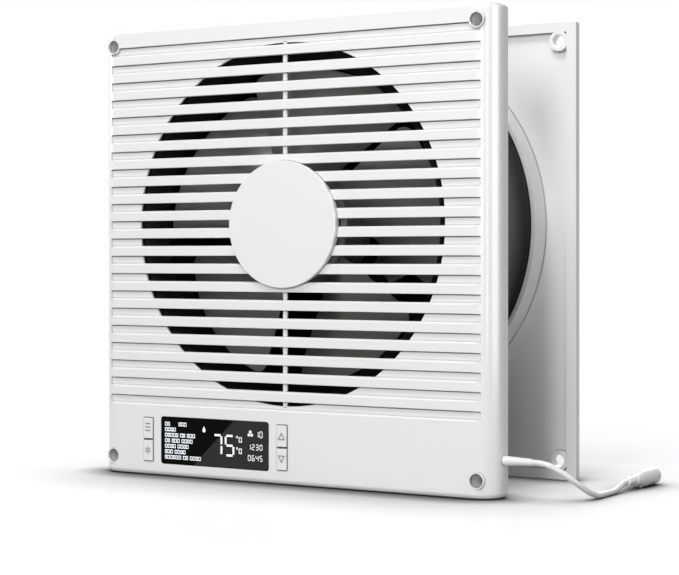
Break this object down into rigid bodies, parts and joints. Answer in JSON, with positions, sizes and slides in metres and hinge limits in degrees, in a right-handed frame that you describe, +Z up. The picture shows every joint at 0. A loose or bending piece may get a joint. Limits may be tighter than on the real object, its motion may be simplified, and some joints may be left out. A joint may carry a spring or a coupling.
{
  "type": "through-wall room fan",
  "caption": "Square louvred fan unit with display, buttons and a round duct that passes through a wall into a louvred plate on the other side; low-voltage lead with a socket.",
  "frame": {"origin": "on the surface that both plates stand on, midway across their width and midway between the front of the round cap and the back of the rear plate", "axes": "+Y runs back through the wall, +X to the right as seen from the side with the controls, +Z up"},
  "size_m": [0.3368, 0.1289, 0.286],
  "materials": {
    "white_shell": "satin, moulded",
    "window_black": "polished",
    "display_glass": "polished",
    "backlight": "diffuse",
    "board_green": "coated fibreglass",
    "board_components": "moulded",
    "sensor_black": "dipped epoxy",
    "screw_steel": "plated",
    "black_plastic": "smooth, moulded",
    "seal_foam": "soft foam",
    "bearing_brass": "turned",
    "bearing_steel": "ground",
    "core_steel": "dark coated",
    "coil_copper": "enamelled copper",
    "magnet_grey": "matt, sintered",
    "cable_black": "soft sleeve",
    "lead_white": "soft vinyl",
    "contact_nickel": "nickel plated"
  },
  "bodies": {
    "front_unit": {"front_shell": "white_shell", "hub_cap": "white_shell", "rear_cover": "white_shell", "cover_screws": "screw_steel", "display_window": "window_black", "lcd_glass": "display_glass", "lcd_backlight": "backlight", "control_board": "board_green", "board_parts": "board_components", "thermistor": "sensor_black", "board_screws": "screw_steel", "switch_bodies": "board_components", "fan_frame": "black_plastic", "clamp_ring": "black_plastic", "frame_screws": "screw_steel", "duct_seal": "seal_foam", "bearing_tube": "bearing_brass", "front_bearing": "bearing_steel", "rear_bearing": "bearing_steel", "stator_core": "core_steel", "stator_coils": "coil_copper", "motor_board": "board_green", "motor_cable": "cable_black", "lead_relief": "lead_white", "lead_tail": "lead_white", "power_lead": "lead_white", "jack_relief": "lead_white", "jack_body": "lead_white", "jack_contact": "contact_nickel"},
    "impeller_body": {"impeller": "black_plastic", "rotor_yoke": "core_steel", "rotor_magnet": "magnet_grey", "motor_shaft": "screw_steel", "shaft_clip": "screw_steel"},
    "rear_unit": {"rear_plate": "white_shell"},
    "button_menu_body": {"button_menu": "white_shell", "plunger_menu": "board_components"},
    "button_fan_body": {"button_fan": "white_shell", "plunger_fan": "board_components"},
    "button_up_body": {"button_up": "white_shell", "plunger_up": "board_components"},
    "button_down_body": {"button_down": "white_shell", "plunger_down": "board_components"}
  },
  "joints": [
    {"name": "impeller_spin", "type": "hinge", "parent": "front_unit", "child": "impeller_body", "pos_m": [0, -0.0379, 0.159], "axis": [0, 1, 0], "continuous": true},
    {"name": "rear_plate_slide", "type": "slide", "parent": "front_unit", "child": "rear_unit", "axis": [0, 1, 0], "range_m": [-0.005, 0.004]},
    {"name": "button_menu_press", "type": "slide", "parent": "front_unit", "child": "button_menu_body", "axis": [0, 1, 0], "range_m": [0, 0.0007], "stiffness_N_per_m": 1500, "springref_m": -0.0003},
    {"name": "button_fan_press", "type": "slide", "parent": "front_unit", "child": "button_fan_body", "axis": [0, 1, 0], "range_m": [0, 0.0007], "stiffness_N_per_m": 1500, "springref_m": -0.0003},
    {"name": "button_up_press", "type": "slide", "parent": "front_unit", "child": "button_up_body", "axis": [0, 1, 0], "range_m": [0, 0.0007], "stiffness_N_per_m": 1500, "springref_m": -0.0003},
    {"name": "button_down_press", "type": "slide", "parent": "front_unit", "child": "button_down_body", "axis": [0, 1, 0], "range_m": [0, 0.0007], "stiffness_N_per_m": 1500, "springref_m": -0.0003}
  ]
}
